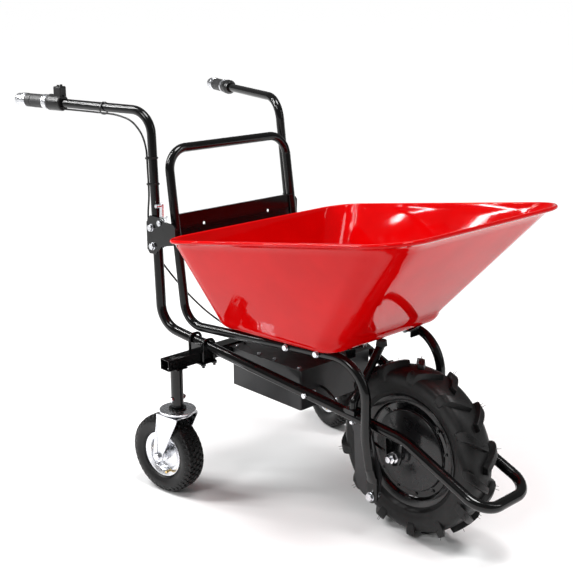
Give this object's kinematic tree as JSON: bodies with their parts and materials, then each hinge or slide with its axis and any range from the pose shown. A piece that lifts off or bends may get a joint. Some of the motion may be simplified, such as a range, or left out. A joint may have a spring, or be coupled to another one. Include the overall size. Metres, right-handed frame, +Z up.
{
  "type": "power wheelbarrow",
  "caption": "Electric power wheelbarrow with a red steel tipping tub, a lugged hub-motor drive wheel in front and swivel casters behind.",
  "frame": {"origin": "centre of the bounding box in plan, on the floor", "axes": "+X forward towards the drive wheel, +Y to the left seen from the handles, +Z up"},
  "size_m": [1.5458, 0.7588, 1.0857],
  "materials": {
    "black_paint": "gloss black enamel",
    "red_paint": "gloss red enamel",
    "dark_plate": "satin dark grey powder coat",
    "rim_black": "gloss black",
    "cover_black": "semi-gloss black",
    "zinc": "bright zinc plate",
    "chrome_nut": "polished",
    "alloy": "cast, plain",
    "magnet": "plain",
    "copper": "enamelled winding",
    "tyre": "matte tread, satin sidewall",
    "grip_rubber": "knurled",
    "pad_rubber": "matte",
    "cable_rubber": "satin",
    "black_plastic": "fine texture",
    "pack_wrap": "shrink wrap",
    "button_red": "gloss",
    "lens": "smoked clear"
  },
  "bodies": {
    "chassis": {"lower_frame_right": "black_paint", "lower_frame_left": "black_paint", "front_loop": "black_paint", "handle_tube_right": "black_paint", "handle_tube_left": "black_paint", "grip_end_caps": "grip_rubber", "grip_right": "grip_rubber", "grip_left": "grip_rubber", "throttle_housing": "black_plastic", "grip_collar_left": "black_plastic", "display_box": "black_plastic", "display_lens": "lens", "latch_plates": "black_paint", "caster_beam": "black_paint", "beam_clamps": "black_paint", "caster_posts": "black_paint", "caster_plates": "zinc", "motor_stator": "copper", "drive_axle": "zinc", "axle_hangers": "black_paint", "axle_nuts": "chrome_nut", "pivot_plates": "dark_plate", "pivot_bolts": "zinc", "battery_box": "dark_plate", "battery_lid": "dark_plate", "battery_pack": "pack_wrap", "motor_controller": "alloy", "controller_cover": "dark_plate", "charge_socket": "black_plastic", "support_strut": "black_paint", "strut_pad": "pad_rubber", "frame_bolts": "zinc", "throttle_cable": "cable_rubber", "motor_cable": "cable_rubber", "cable_ties": "cable_rubber"},
    "tilt_frame": {"push_bar": "black_paint", "tilt_leg_right": "black_paint", "tilt_leg_left": "black_paint", "cross_panel": "black_paint", "tub_brackets": "black_paint", "tub": "red_paint", "tilt_bolts": "zinc"},
    "drive_wheel": {"drive_tyre": "tyre", "drive_rim": "rim_black", "motor_cover_right": "cover_black", "motor_cover_left": "cover_black", "magnet_ring": "magnet", "cover_screws": "rim_black"},
    "swivel_right": {"caster_fork_right": "zinc", "caster_axle_right": "zinc"},
    "swivel_left": {"caster_fork_left": "zinc", "caster_axle_left": "zinc"},
    "caster_wheel_right": {"caster_tyre_right": "tyre", "caster_rim_right": "zinc"},
    "caster_wheel_left": {"caster_tyre_left": "tyre", "caster_rim_left": "zinc"},
    "throttle": {"throttle_sleeve": "grip_rubber"},
    "latch": {"latch_lever": "zinc"},
    "key": {"key_switch": "rim_black"},
    "button": {"direction_button": "black_plastic"}
  },
  "joints": [
    {"name": "tilt", "type": "hinge", "parent": "chassis", "child": "tilt_frame", "pos_m": [0.43695, 0, 0.122], "axis": [0, 1, 0], "range_deg": [0, 70]},
    {"name": "drive_spin", "type": "hinge", "parent": "chassis", "child": "drive_wheel", "pos_m": [0.47395, 0, 0.23], "axis": [0, 1, 0], "continuous": true},
    {"name": "swivel_right", "type": "hinge", "parent": "chassis", "child": "swivel_right", "pos_m": [-0.10205, -0.316, 0.2], "axis": [0, 0, 1], "continuous": true},
    {"name": "swivel_left", "type": "hinge", "parent": "chassis", "child": "swivel_left", "pos_m": [-0.10205, 0.316, 0.2], "axis": [0, 0, 1], "continuous": true},
    {"name": "caster_spin_right", "type": "hinge", "parent": "swivel_right", "child": "caster_wheel_right", "pos_m": [-0.14156, -0.32226, 0.112], "axis": [-0.1564, 0.9877, 0], "continuous": true},
    {"name": "caster_spin_left", "type": "hinge", "parent": "swivel_left", "child": "caster_wheel_left", "pos_m": [-0.14086, 0.32568, 0.112], "axis": [0.2419, 0.9703, 0], "continuous": true},
    {"name": "throttle_twist", "type": "hinge", "parent": "chassis", "child": "throttle", "pos_m": [-0.77005, -0.363, 1.035], "axis": [0.9651, 0.2616, -0.0101], "range_deg": [0, 60], "stiffness_Nm_per_rad": 0.3},
    {"name": "latch_swing", "type": "hinge", "parent": "chassis", "child": "latch", "pos_m": [-0.22605, -0.25832, 0.737], "axis": [0, 1, 0], "range_deg": [-15, 60]},
    {"name": "key_turn", "type": "hinge", "parent": "chassis", "child": "key", "pos_m": [-0.6026, -0.31762, 1.07], "axis": [0, 0, 1], "range_deg": [0, 90]},
    {"name": "button_press", "type": "slide", "parent": "chassis", "child": "button", "axis": [0, 0, 1], "range_m": [-0.002, 0], "stiffness_N_per_m": 800}
  ]
}
